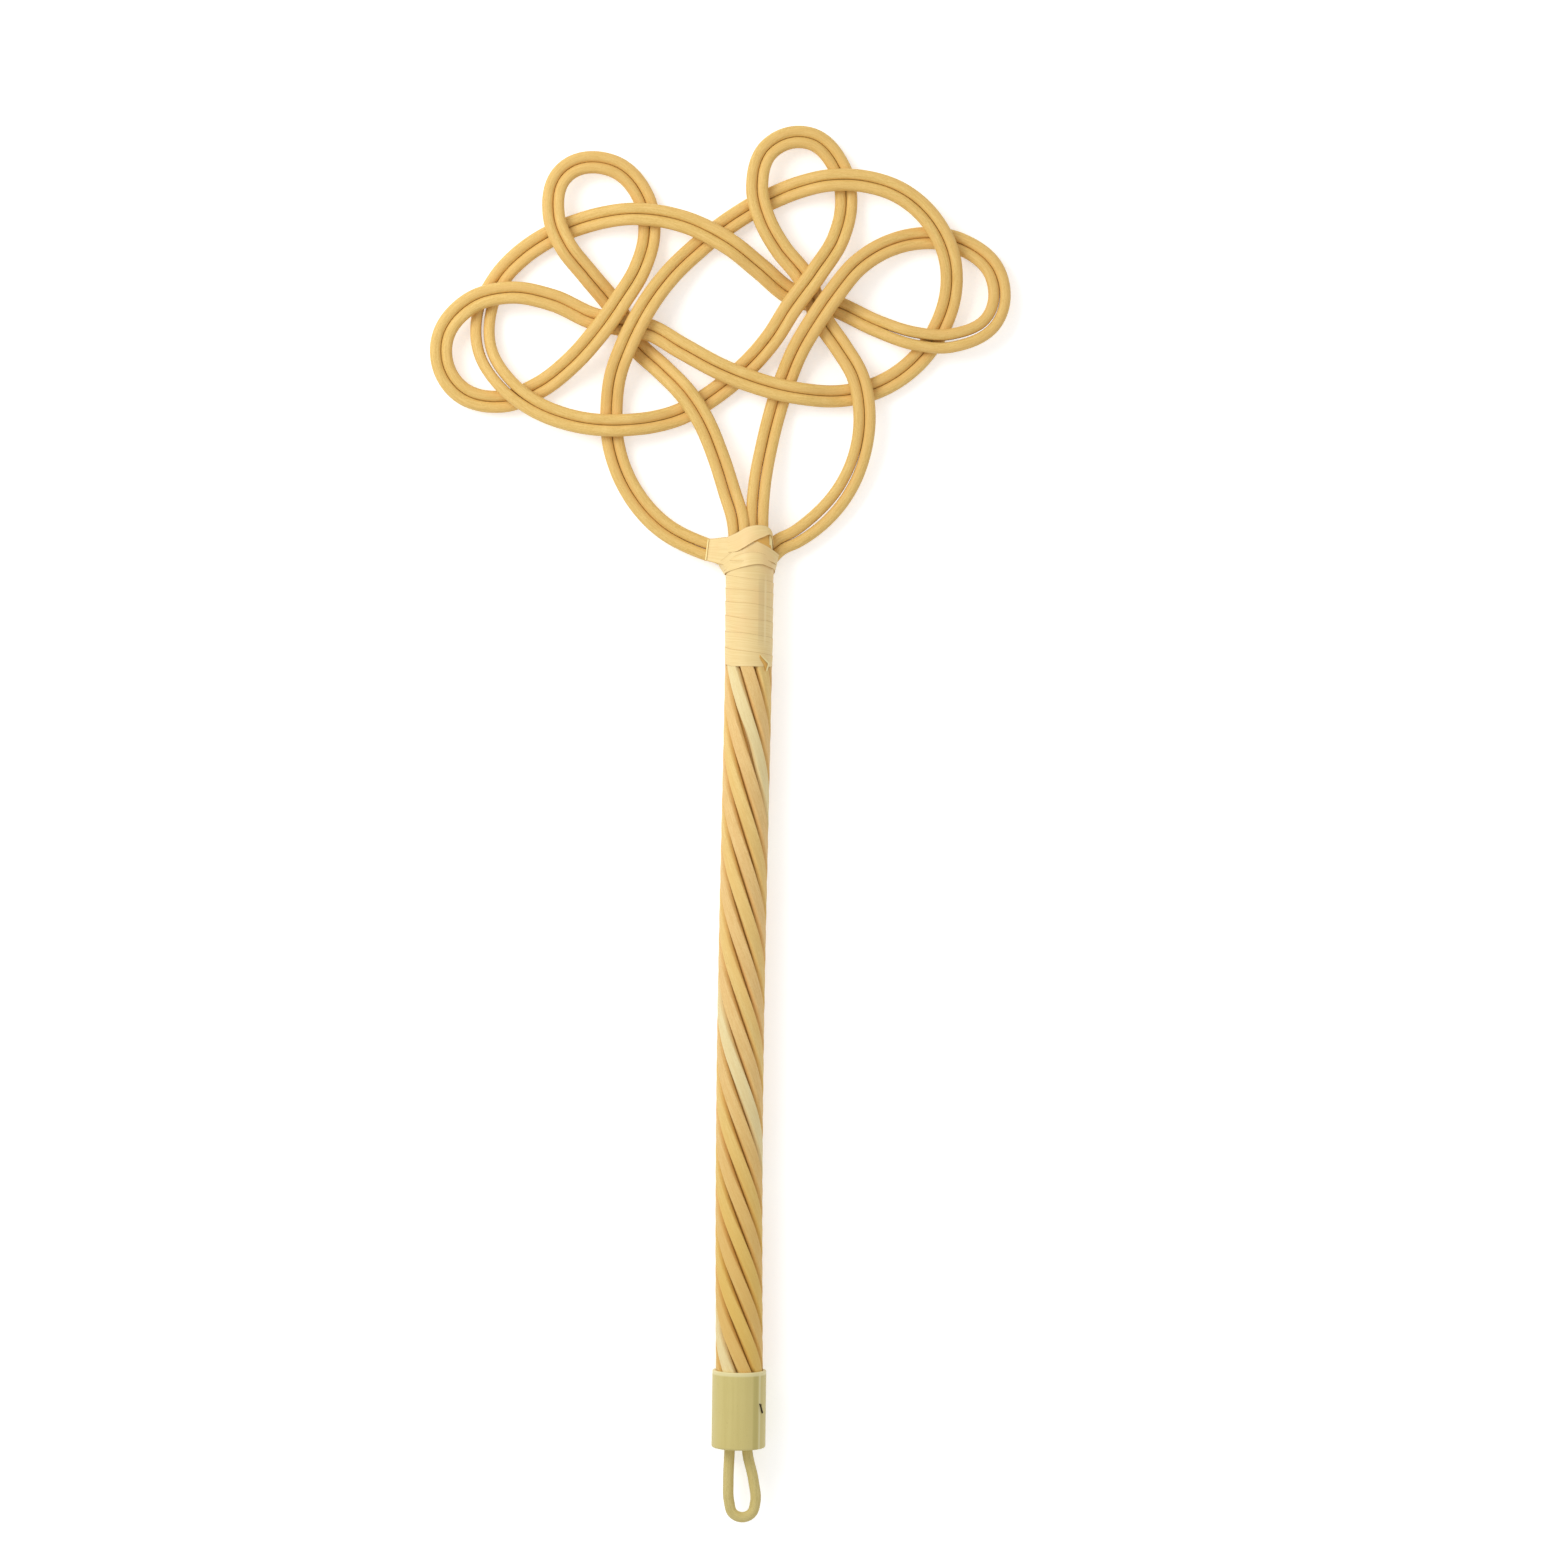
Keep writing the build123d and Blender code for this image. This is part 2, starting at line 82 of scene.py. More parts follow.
def placed(point):
    """A point given from the neck's middle, in metres in the beater's frame."""
    return (point + neck) * millimetre


def plan_directions(points):
    """Direction in plan at each point, from the circle through it and its neighbours."""
    chords = [Vector((b[0] - a[0], b[1] - a[1])) for a, b in zip(points, points[1:])]
    inner = []
    for before, after in zip(chords, chords[1:]):
        both = before.normalized() * after.length + after.normalized() * before.length
        inner.append(both.normalized())
    first = chords[0].normalized() * (2 * inner[0].dot(chords[0].normalized())) - inner[0]
    last = chords[-1].normalized() * (2 * inner[-1].dot(chords[-1].normalized())) - inner[-1]
    return [first] + inner + [last]


def height_slopes(points):
    """Rise at each point, level wherever a layer begins, ends or turns back."""
    rises = []
    for a, b in zip(points, points[1:]):
        rises.append((b[2] - a[2]) / math.hypot(b[0] - a[0], b[1] - a[1]))
    slopes = [0.0]
    for before, after in zip(rises, rises[1:]):
        slopes.append(2 * before * after / (before + after) if before * after > 0 else 0.0)
    return slopes + [0.0]


def even_line(points, directions, step):
    """Points at even steps on a smooth line through the given points."""
    dense = []
    for a, along_a, b, along_b in zip(points, directions, points[1:], directions[1:]):
        chord = (b - a).length
        turn = along_a.angle(along_b)
        handle = chord / (3 * math.cos(turn / 4) ** 2)
        count = max(4, math.ceil(chord / curve_step))
        dense += interpolate_bezier(a, a + along_a * handle, b - along_b * handle, b, count)[:-1]
    dense.append(points[-1])
    lengths = [0.0]
    for a, b in zip(dense, dense[1:]):
        lengths.append(lengths[-1] + (b - a).length)
    count = math.ceil(lengths[-1] / step)
    line = []
    place = 0
    for number in range(count + 1):
        wanted = lengths[-1] * number / count
        while place < len(dense) - 2 and lengths[place + 1] < wanted:
            place += 1
        share = (wanted - lengths[place]) / max(lengths[place + 1] - lengths[place], 1e-9)
        line.append(dense[place].lerp(dense[place + 1], min(share, 1.0)))
    return line


def line_runs(line):
    """The direction of a line at each of its points."""
    last = len(line) - 1
    return [(line[min(i + 1, last)] - line[max(i - 1, 0)]).normalized() for i in range(len(line))]


def sheet_of_faces(name, along, across):
    """A flat grid of faces, ready to be rolled into a rod or bent into a strip."""
    bpy.ops.mesh.primitive_grid_add(x_subdivisions=along, y_subdivisions=across, size=1)
    piece = bpy.context.object
    piece.name = name
    piece.data.name = name
    return piece


def laid_out(piece, along, length, place):
    """Moves every point of the grid to place(row, share across) and its UVs to real lengths."""
    for vertex in piece.data.vertices:
        row = round((vertex.co.x + 0.5) * along)
        vertex.co = placed(place(row, vertex.co.y + 0.5))
    for loop in piece.data.uv_layers.active.data:
        loop.uv.x *= length * millimetre


def closed(smooth_angle, rolled):
    """Turns the faces outward and smooths them; a rolled sheet is first welded and capped."""
    bpy.ops.object.mode_set(mode="EDIT")
    bpy.ops.mesh.select_all(action="SELECT")
    if rolled:
        bpy.ops.mesh.remove_doubles(threshold=weld_distance * millimetre)
        bpy.ops.mesh.fill_holes(sides=0)
    bpy.ops.mesh.normals_make_consistent(inside=False)
    bpy.ops.object.mode_set(mode="OBJECT")
    bpy.ops.object.shade_smooth_by_angle(angle=math.radians(smooth_angle))


def rod(name, line, ups, section, sides):
    """A rod along a line; section(share along, share round) is its reach sideways and up."""
    along = len(line) - 1
    frames = []
    for point, run, up in zip(line, line_runs(line), ups):
        upright = (up - run * up.dot(run)).normalized()
        frames.append((point, upright.cross(run), upright))
    length = sum((b - a).length for a, b in zip(line, line[1:]))
    piece = sheet_of_faces(name, along, sides)

    def place(row, share):
        point, side, upright = frames[row]
        aside, above = section(row / along, share)
        return point + side * aside + upright * above

    laid_out(piece, along, length, place)
    closed(rod_smooth_angle, rolled=True)
    return piece


def squared_round(share_round, squareness):
    """Sideways and up on an outline of reach 1, a circle at squareness 2 and squarer above it."""
    angle = 2 * math.pi * share_round
    cosine, sine = math.cos(angle), math.sin(angle)
    reach = (abs(cosine) ** squareness + abs(sine) ** squareness) ** (-1 / squareness)
    return reach * cosine, reach * sine


def round_section(radius):
    """The section of a plain round rod."""
    def section(share_along, share_round):
        angle = 2 * math.pi * share_round
        return radius * math.cos(angle), radius * math.sin(angle)

    return section


def eased(share):
    """A share from 0 to 1, with a soft start and end."""
    inside = min(max(share, 0.0), 1.0)
    return inside * inside * (3 - 2 * inside)


# Materials; their colours are written as they look on a screen

def from_screen(colour):
    """A screen colour in the values that a shader takes."""
    linear = []
    for value in colour:
        value /= 255
        linear.append(value / 12.92 if value <= 0.04045 else ((value + 0.055) / 1.055) ** 2.4)
    return (*linear, 1.0)


def started_material(name):
    """A new material with its tree and its Principled shader."""
    material = bpy.data.materials.new(name)
    material.use_nodes = True
    tree = material.node_tree
    shader = tree.nodes["Principled BSDF"]
    return material, tree, shader


def started_group(name, inputs, outputs):
    """An empty shader group with its sockets; inputs are name and value, outputs are name."""
    group = bpy.data.node_groups.new(name, "ShaderNodeTree")
    for socket, value in inputs:
        added = group.interface.new_socket(socket, in_out="INPUT", socket_type="NodeSocketFloat")
        added.default_value = value
    for socket in outputs:
        group.interface.new_socket(socket, in_out="OUTPUT", socket_type="NodeSocketFloat")
    entry = group.nodes.new("NodeGroupInput")
    leave = group.nodes.new("NodeGroupOutput")
    return group, entry, leave


def group_in(tree, group, values):
    """Places a shared group with its own values, and gives its output sockets."""
    node = tree.nodes.new("ShaderNodeGroup")
    node.node_tree = group
    for name, value in values.items():
        node.inputs[name].default_value = value
    return node.outputs


def maths(tree, operation, first, second=None, third=None):
    """A math node fed with sockets or numbers."""
    node = tree.nodes.new("ShaderNodeMath")
    node.operation = operation
    for socket, value in zip(node.inputs, (first, second, third)):
        if isinstance(value, (int, float)):
            socket.default_value = value
        elif value is not None:
            tree.links.new(value, socket)
    return node.outputs[0]


def times(tree, first, second):
    """The product of two sockets, or of a socket and a number."""
    return maths(tree, "MULTIPLY", first, second)


def vector_from(tree, *places):
    """A vector of two or three sockets."""
    node = tree.nodes.new("ShaderNodeCombineXYZ")
    for place, socket in zip(places, node.inputs):
        tree.links.new(place, socket)
    return node.outputs[0]


def place_sockets(tree, source, output):
    """The X and Y sockets of a place on a surface."""
    node = tree.nodes.new(source)
    parts = tree.nodes.new("ShaderNodeSeparateXYZ")
    tree.links.new(node.outputs[output], parts.inputs[0])
    return parts.outputs["X"], parts.outputs["Y"]


def place_on_piece(tree):
    """Metres along a piece and the share round it or across it, from its UV map."""
    return place_sockets(tree, "ShaderNodeUVMap", "UV")


def place_on_beater(tree):
    """Metres across from the handle's axis, and Y in metres."""
    x, y = place_sockets(tree, "ShaderNodeTexCoord", "Object")
    return maths(tree, "SUBTRACT", x, neck.x * millimetre), y


def noise(tree, vector, scale, detail, roughness):
    """Cloudy noise from 0 to 1 over a vector."""
    node = tree.nodes.new("ShaderNodeTexNoise")
    node.inputs["Scale"].default_value = scale
    node.inputs["Detail"].default_value = detail
    node.inputs["Roughness"].default_value = roughness
    tree.links.new(vector, node.inputs["Vector"])
    return node.outputs["Fac"]


def spread(tree, value, low, high):
    """The value stretched so that low becomes 0 and high becomes 1."""
    node = tree.nodes.new("ShaderNodeMapRange")
    node.interpolation_type = "SMOOTHSTEP"
    node.inputs["From Min"].default_value = low
    node.inputs["From Max"].default_value = high
    tree.links.new(value, node.inputs["Value"])
    return node.outputs["Result"]


def band(tree, value, middle, half_width, soft):
    """1 near the middle, fading over the soft edge; the value in metres, the rest in millimetres."""
    away = maths(tree, "ABSOLUTE", maths(tree, "SUBTRACT", value, middle * millimetre))
    faded = spread(tree, away, half_width * millimetre, (half_width + soft) * millimetre)
    return maths(tree, "SUBTRACT", 1.0, faded)


def mixed(tree, amount, first, second):
    """A colour between two, each a colour or a socket."""
    node = tree.nodes.new("ShaderNodeMix")
    node.data_type = "RGBA"
    tree.links.new(amount, node.inputs["Factor"])
    for socket, value in ((node.inputs[6], first), (node.inputs[7], second)):
        if isinstance(value, tuple):
            socket.default_value = from_screen(value)
        else:
            tree.links.new(value, socket)
    return node.outputs[2]


def stained(tree, tone, mask, strength, colour):
    """A tone with a colour laid over it where the mask is, at a strength."""
    return mixed(tree, times(tree, mask, strength), tone, colour)


def painted(tree, shader, tone, roughness):
    """Gives a shader its colour and its roughness."""
    tree.links.new(tone, shader.inputs["Base Color"])
    tree.links.new(roughness, shader.inputs["Roughness"])


def relief(tree, shader, height, strength, distance):
    """Fine bumps of a height, given in millimetres."""
    bump = tree.nodes.new("ShaderNodeBump")
    bump.inputs["Strength"].default_value = strength
    bump.inputs["Distance"].default_value = distance * millimetre
    tree.links.new(height, bump.inputs["Height"])
    tree.links.new(bump.outputs["Normal"], shader.inputs["Normal"])


def seen_directly(tree):
    """1 where a surface is looked at, mirrored or seen through glass, and 0 where it lights."""
    path = tree.nodes.new("ShaderNodeLightPath")
    seen = maths(tree, "MAXIMUM", path.outputs["Is Camera Ray"], path.outputs["Is Glossy Ray"])
    return maths(tree, "MAXIMUM", seen, path.outputs["Is Transmission Ray"])


def cane_skin_group():
    """Marks of a cane's skin, drawn out along it, and painted shade along the seam where it meets its
    neighbour.
    """
    tree, entry, leave = started_group(
        "cane_skin",
        [("Seed", 0.0), ("Both Sides", 0.0), ("Seam Width", 0.2)],
        ["Fibre", "Patch", "Fleck", "Seam", "Relief"],
    )
    along, share_round = place_on_piece(tree)
    turn = times(tree, share_round, 2 * math.pi)
    cosine = maths(tree, "COSINE", turn)
    sine = maths(tree, "SINE", turn)
    shifted = maths(tree, "ADD", along, entry.outputs["Seed"])

    def rolled(stretch):
        return vector_from(tree, times(tree, shifted, stretch), cosine, sine)

    fibre = noise(tree, rolled(34.0), scale=4.2, detail=4.0, roughness=0.7)
    fine = noise(tree, rolled(110.0), scale=9.0, detail=2.0, roughness=0.6)
    patch = noise(tree, rolled(14.0), scale=0.9, detail=3.0, roughness=0.6)
    fleck = noise(tree, rolled(420.0), scale=5.0, detail=1.0, roughness=0.5)
    # A cane of a pair has its painted seam shade on one side, a cane of the handle has it on both
    nearness = tree.nodes.new("ShaderNodeMix")
    tree.links.new(entry.outputs["Both Sides"], nearness.inputs["Factor"])
    tree.links.new(times(tree, cosine, -1.0), nearness.inputs[2])
    tree.links.new(maths(tree, "ABSOLUTE", cosine), nearness.inputs[3])
    distance = maths(tree, "SUBTRACT", 1.0, nearness.outputs[0])
    wavy = times(tree, maths(tree, "SUBTRACT", patch, 0.5), 0.08)
    seam = maths(tree, "DIVIDE", maths(tree, "ADD", distance, wavy), entry.outputs["Seam Width"])
    marks = {
        "Fibre": maths(tree, "ADD", times(tree, fibre, 0.6), times(tree, fine, 0.4)),
        "Patch": spread(tree, patch, 0.36, 0.68),
        "Fleck": spread(tree, fleck, 0.70, 0.80),
        "Seam": spread(tree, maths(tree, "SUBTRACT", 1.0, seam), 0.0, 1.0),
        "Relief": maths(tree, "ADD", times(tree, fibre, 0.5), times(tree, fine, 0.5)),
    }
    for name, mark in marks.items():
        tree.links.new(mark, leave.inputs[name])
    return tree


def handling_marks_group():
    """Slow and fine changes over any surface, from its place on the beater."""
    tree, entry, leave = started_group(
        "handling_marks", [("Slow Scale", 60.0), ("Fine Scale", 900.0)], ["Slow", "Fine"]
    )
    place = tree.nodes.new("ShaderNodeTexCoord")
    for name, detail in (("Slow", 2.0), ("Fine", 3.0)):
        node = tree.nodes.new("ShaderNodeTexNoise")
        node.inputs["Detail"].default_value = detail
        tree.links.new(place.outputs["Object"], node.inputs["Vector"])
        tree.links.new(entry.outputs[name + " Scale"], node.inputs["Scale"])
        tree.links.new(node.outputs["Fac"], leave.inputs[name])
    return tree


cane_skin = cane_skin_group()
handling_marks = handling_marks_group()

# Where the handle's colour deepens towards its foot
low_tone_start_drop = 200.0
low_tone_full_drop = 340.0


def cane_material(name, light, dark, blush, fleck_and_seam_shade_colour, seed, both_sides, seam_width, low_tone=None):
    """Peeled cane: fine lengthwise fibres, slow changes of tone, dark flecks and painted shade along
    the seam.
    """
    material, tree, shader = started_material(name)
    skin = group_in(
        tree, cane_skin, {"Seed": seed, "Both Sides": both_sides, "Seam Width": seam_width}
    )
    tone = mixed(tree, spread(tree, skin["Fibre"], 0.34, 0.66), dark, light)
    tone = stained(tree, tone, skin["Patch"], 0.55, blush)
    if low_tone:
        y = place_sockets(tree, "ShaderNodeTexCoord", "Object")[1]
        drop = maths(tree, "SUBTRACT", neck.y * millimetre, y)
        low = spread(tree, drop, low_tone_start_drop * millimetre, low_tone_full_drop * millimetre)
        tone = stained(tree, tone, low, 0.6, low_tone)
    tone = stained(tree, tone, skin["Fleck"], 0.35, fleck_and_seam_shade_colour)
    # Painted shade along the seam where the cane meets its neighbour
    tone = stained(tree, tone, skin["Seam"], 0.85, fleck_and_seam_shade_colour)
    painted(tree, shader, tone, maths(tree, "MULTIPLY_ADD", skin["Fibre"], -0.15, 0.62))
    shader.inputs["Specular IOR Level"].default_value = 0.35
    relief(tree, shader, skin["Relief"], strength=0.35, distance=0.25)
    return material


def cap_material():
    """Moulded cream plastic: a pale lip, faint draw lines along it, an olive stripe and a painted
    highlight beside it.
    """
    material, tree, shader = started_material("cap_cream")
    marks = group_in(tree, handling_marks, {"Slow Scale": 45.0, "Fine Scale": 1400.0})
    across, y = place_on_beater(tree)
    drawn = vector_from(tree, across, times(tree, y, 0.03))
    lines = noise(tree, drawn, scale=420.0, detail=3.0, roughness=0.6)
    tone = mixed(tree, marks["Slow"], (212, 195, 120), (220, 204, 132))
    tone = stained(tree, tone, spread(tree, lines, 0.4, 0.7), 0.35, (204, 186, 112))
    tone = mixed(tree, spread(tree, marks["Fine"], 0.62, 0.8), tone, (196, 178, 110))
    stripe = band(tree, across, middle=7.4, half_width=0.5, soft=1.1)
    tone = stained(tree, tone, stripe, 0.55, (184, 170, 92))
    # A painted highlight line beside the stripe
    painted_glint = band(tree, across, middle=9.1, half_width=0.1, soft=0.5)
    tone = stained(tree, tone, painted_glint, 0.6, (236, 228, 178))
    rim = neck.y - cap_top_drop
    lip = spread(tree, y, (rim - 2.1) * millimetre, (rim - 1.1) * millimetre)
    tone = stained(tree, tone, lip, 0.85, (240, 228, 172))
    painted(tree, shader, tone, maths(tree, "MULTIPLY_ADD", marks["Fine"], 0.12, 0.38))
    relief(tree, shader, marks["Fine"], strength=0.12, distance=0.1)
    return material


def wire_material():
    """Dark steel wire with brown bloom."""
    material, tree, shader = started_material("dark_wire")
    marks = group_in(tree, handling_marks, {"Slow Scale": 300.0, "Fine Scale": 2500.0})
    tone = mixed(tree, marks["Slow"], (44, 34, 24), (74, 56, 36))
    painted(tree, shader, tone, maths(tree, "MULTIPLY_ADD", marks["Fine"], 0.2, 0.5))
    shader.inputs["Specular IOR Level"].default_value = 0.2
    return material


def binding_material(name, light, dark, warm):
    """Flat cane bark: pale, smooth, with fine lengthwise lines and painted shade along both edges."""
    material, tree, shader = started_material(name)
    along, share_across = place_on_piece(tree)
    drawn = vector_from(tree, times(tree, along, 30.0), times(tree, share_across, 9.0))
    lines = noise(tree, drawn, scale=1.6, detail=3.0, roughness=0.6)
    marks = group_in(tree, handling_marks, {"Slow Scale": 70.0, "Fine Scale": 1200.0})
    tone = mixed(tree, spread(tree, lines, 0.35, 0.65), dark, light)
    tone = stained(tree, tone, spread(tree, marks["Slow"], 0.45, 0.7), 0.6, warm)
    # Painted shade along both edges of the strip, where it meets the turns and passes beside it
    from_middle = maths(tree, "ABSOLUTE", maths(tree, "SUBTRACT", share_across, 0.5))
    tone = stained(tree, tone, spread(tree, from_middle, 0.465, 0.5), 0.75, (186, 146, 82))
    # Down the right of the neck, a painted grey sheen on the strip and a painted highlight line
    # beside it
    across, y = place_on_beater(tree)
    sheen_span = band(tree, y, middle=neck.y - 28.0, half_width=10.0, soft=8.0)
    painted_grey_sheen = times(tree, band(tree, across, middle=5.3, half_width=0.8, soft=0.8), sheen_span)
    tone = stained(tree, tone, painted_grey_sheen, 0.3, (206, 180, 130))
    painted_highlight_line = times(tree, band(tree, across, middle=7.1, half_width=0.2, soft=0.4), sheen_span)
    tone = stained(tree, tone, painted_highlight_line, 0.5, (252, 232, 180))
    painted(tree, shader, tone, maths(tree, "MULTIPLY_ADD", lines, 0.15, 0.42))
    relief(tree, shader, lines, strength=0.2, distance=0.2)
    return material


# Painted shade colours: along the seams of the knot's pairs and in the grooves between the handle's
# canes
seam_shade_brown = (146, 100, 34)
groove_shade_brown = (176, 132, 62)
golden_cane = cane_material(
    "golden_cane", (243, 206, 127), (221, 180, 97), (234, 187, 110), seam_shade_brown,
    seed=0.0, both_sides=0.0, seam_width=0.13,
)
handle_golden = cane_material(
    "handle_golden", (247, 214, 138), (232, 195, 116), (238, 196, 114), groove_shade_brown,
    seed=3.0, both_sides=1.0, seam_width=0.03, low_tone=(229, 187, 84),
)
handle_tan = cane_material(
    "handle_tan", (246, 210, 142), (231, 190, 118), (237, 190, 120), groove_shade_brown,
    seed=7.0, both_sides=1.0, seam_width=0.03, low_tone=(227, 183, 92),
)
handle_pale = cane_material(
    "handle_pale", (247, 230, 176), (236, 214, 154), (240, 214, 150), groove_shade_brown,
    seed=11.0, both_sides=1.0, seam_width=0.03,
)
# The loop's thin dark line down one side is painted shade
loop_cane = cane_material(
    "loop_cane", (226, 208, 140), (200, 182, 112), (220, 198, 124), (140, 118, 58),
    seed=5.0, both_sides=0.0, seam_width=0.02,
)
cap_cream = cap_material()
dark_wire = wire_material()
binding_strip = binding_material(
    "binding_strip", light=(248, 221, 158), dark=(240, 210, 144), warm=(245, 208, 144)
)
# The strip's inner side, a deeper orange that also stands for painted shade where the strip is tucked
# under
binding_back_and_shade = binding_material(
    "binding_back_and_shade", light=(236, 186, 92), dark=(224, 168, 74), warm=(232, 176, 82)
)
binding_fold = binding_material(
    "binding_fold", light=(255, 239, 178), dark=(251, 228, 156), warm=(254, 232, 162)
)


def dressed(piece, material):
    """Gives a piece its one material."""
    piece.data.materials.clear()
    piece.data.materials.append(material)


def finished(piece, material, slot, *replaced):
    """Gives a new piece its material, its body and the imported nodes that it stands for."""
    dressed(piece, material)
    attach(piece, "root")
    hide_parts(*replaced)
    bpy.ops.object.select_all(action="DESELECT")


# The knot: each row of a route is a place between two canes that lie side by side. Its x is a
# share of the head's width, y of its length above the neck's middle, and level of a layer's step.
head_width = 257.0
head_length = 186.8
layer_step = 5.3
knot_height = 7.8
inner_left_route = [
    # from the neck up the inner left leg, over the second pair and under the left cluster
    (-0.0235, 0.075, 1.05),
    (-0.0352, 0.125, 0.50), (-0.057, 0.215, 0.50), (-0.084, 0.300, 0.50), (-0.112, 0.358, 0.50),
    (-0.154, 0.418, -0.25), (-0.198, 0.474, -1.00), (-0.243, 0.575, -1.00), (-0.284, 0.640, -0.25),
    # round the upper left loop and back over the cluster
    (-0.324, 0.708, 0.50), (-0.343, 0.774, 0.50), (-0.325, 0.880, 0.17), (-0.246, 0.898, -0.17),
    (-0.189, 0.819, -0.50), (-0.180, 0.743, -0.50), (-0.195, 0.654, 0.25), (-0.228, 0.573, 1.00),
    (-0.263, 0.503, 1.00), (-0.311, 0.430, 0.25), (-0.368, 0.371, -0.50), (-0.426, 0.339, -0.50),
    # round the lobe at the far left and through the middle of the cluster
    (-0.506, 0.367, -0.17), (-0.533, 0.473, 0.17), (-0.486, 0.565, 0.50), (-0.418, 0.593, 0.50),
    (-0.343, 0.577, 0.25), (-0.272, 0.535, 0.00), (-0.227, 0.522, 0.00), (-0.182, 0.513, 0.00),
    # the sag across the head to the right, then the great arc over the top
    (-0.120, 0.467, 0.25), (-0.057, 0.421, 0.50), (0.006, 0.388, 0.50), (0.073, 0.366, 0.50),
    (0.162, 0.364, -0.50), (0.211, 0.381, -0.50), (0.251, 0.411, -0.50), (0.286, 0.454, -0.50),
    (0.320, 0.526, -0.50), (0.338, 0.607, 0.00), (0.334, 0.692, 0.50), (0.305, 0.773, 0.50),
    (0.251, 0.838, 0.50), (0.182, 0.867, 0.50), (0.128, 0.867, 0.50), (0.079, 0.853, 0.00),
    (0.033, 0.829, -0.50), (-0.032, 0.778, -0.50), (-0.091, 0.714, -0.50), (-0.145, 0.638, 0.25),
    # down over the cluster and round the lower left to the neck
    (-0.188, 0.550, 1.00), (-0.217, 0.468, 1.00), (-0.235, 0.398, 0.25), (-0.241, 0.324, -0.50),
    (-0.238, 0.250, -0.50), (-0.209, 0.140, -0.50), (-0.153, 0.050, -0.50), (-0.077, -0.003, -0.30),
    (-0.047, -0.016, -0.05),
]
inner_right_route = [
    # from the neck up the inner right leg and over the right cluster
    (0.0115, 0.075, 0.85),
    (0.0147, 0.147, 0.60), (0.026, 0.241, 0.10), (0.042, 0.334, -0.50), (0.058, 0.403, -0.50),
    (0.077, 0.466, 0.25), (0.102, 0.525, 1.00), (0.140, 0.603, 1.00), (0.178, 0.668, 0.50),
    # round the lobe at the far right and under the cluster
    (0.229, 0.715, 0.00), (0.288, 0.737, -0.50), (0.353, 0.725, -0.50), (0.414, 0.654, -0.17),
    (0.411, 0.548, 0.17), (0.342, 0.494, 0.50), (0.278, 0.497, 0.50), (0.211, 0.529, -0.25),
    (0.147, 0.572, -1.00), (0.063, 0.604, -1.00), (0.010, 0.660, -0.25),
    # the arch over the left half and the great arc round its lower side
    (-0.044, 0.715, 0.50), (-0.122, 0.766, 0.50), (-0.208, 0.782, 0.50), (-0.260, 0.774, 0.00),
    (-0.310, 0.755, -0.50), (-0.358, 0.724, -0.50), (-0.400, 0.683, -0.50), (-0.435, 0.631, -0.50),
    (-0.462, 0.543, -0.50), (-0.458, 0.455, 0.00), (-0.423, 0.380, 0.50), (-0.374, 0.328, 0.50),
    (-0.322, 0.299, 0.50), (-0.266, 0.285, 0.50), (-0.214, 0.285, 0.50), (-0.169, 0.294, 0.00),
    (-0.125, 0.313, -0.50), (-0.063, 0.365, -0.50), (-0.008, 0.431, -0.50), (0.032, 0.494, 0.25),
    # over the cluster, round the upper right loop and back through the cluster
    (0.065, 0.565, 1.00), (0.107, 0.646, 1.00), (0.144, 0.731, 0.25), (0.157, 0.828, -0.50),
    (0.145, 0.900, -0.50), (0.093, 0.968, -0.17), (0.026, 0.943, 0.17), (0.004, 0.851, 0.50),
    (0.016, 0.778, 0.50), (0.045, 0.707, 0.25), (0.083, 0.645, 0.00), (0.120, 0.536, 0.00),
    # round the lower right to the neck
    (0.152, 0.473, 0.25), (0.180, 0.408, 0.50), (0.192, 0.335, 0.50), (0.187, 0.233, 0.20),
    (0.158, 0.136, -0.20), (0.108, 0.058, -0.30), (0.076, 0.026, -0.20), (0.050, 0.008, -0.05),
]
# Half the spacing of a pair, and how much wider it stands at some rows of the right route
pair_half_spacing = 2.45
ring_half_spacing = 2.50
no_slack = {}
inner_right_slack = {
    13: 0.14, 14: 0.40, 15: 0.32, 28: 0.46, 29: 0.44, 30: 0.22, 56: 0.24, 57: 0.36, 58: 0.06,
}
knot_cane_radius = 2.48
knot_cane_squareness = 2.4
knot_cane_step = 1.7
knot_cane_sides = 22


def ring_point(slot, drop):
    """A place in one of the ring's slots, which are counted round from the right."""
    angle = math.radians((slot + 0.5) * slot_angle)
    return Vector((ring_radius * math.cos(angle), -drop, axis_height + ring_radius * math.sin(angle)))


def knot_line(route, slack, side, start_slot, end_slot):
    """The line of one cane of a pair, from the ring round the knot and back to the ring."""
    plan = [(x * head_width, y * head_length) for x, y, level in route]
    points = [ring_point(start_slot, splice_drop), ring_point(start_slot, ring_drop)]
    last = len(plan) - 1
    for row, ((x, y), along) in enumerate(zip(plan, plan_directions(plan))):
        near_end = min(row, last - row)
        half = pair_half_spacing if near_end > 1 else ring_half_spacing
        shift = side * (half + slack.get(row, 0.0))
        height = knot_height + route[row][2] * layer_step
        points.append(Vector((x - shift * along.y, y + shift * along.x, height)))
    points += [ring_point(end_slot, ring_drop), ring_point(end_slot, splice_drop)]
    directions = []
    for flat, slope in zip(plan_directions(points), height_slopes(points)):
        directions.append(Vector((flat.x, flat.y, slope)).normalized())
    upward = Vector((0, 1, 0))
    directions = [upward, upward] + directions[2:-2] + [-upward, -upward]
    return even_line(points, directions, knot_cane_step)


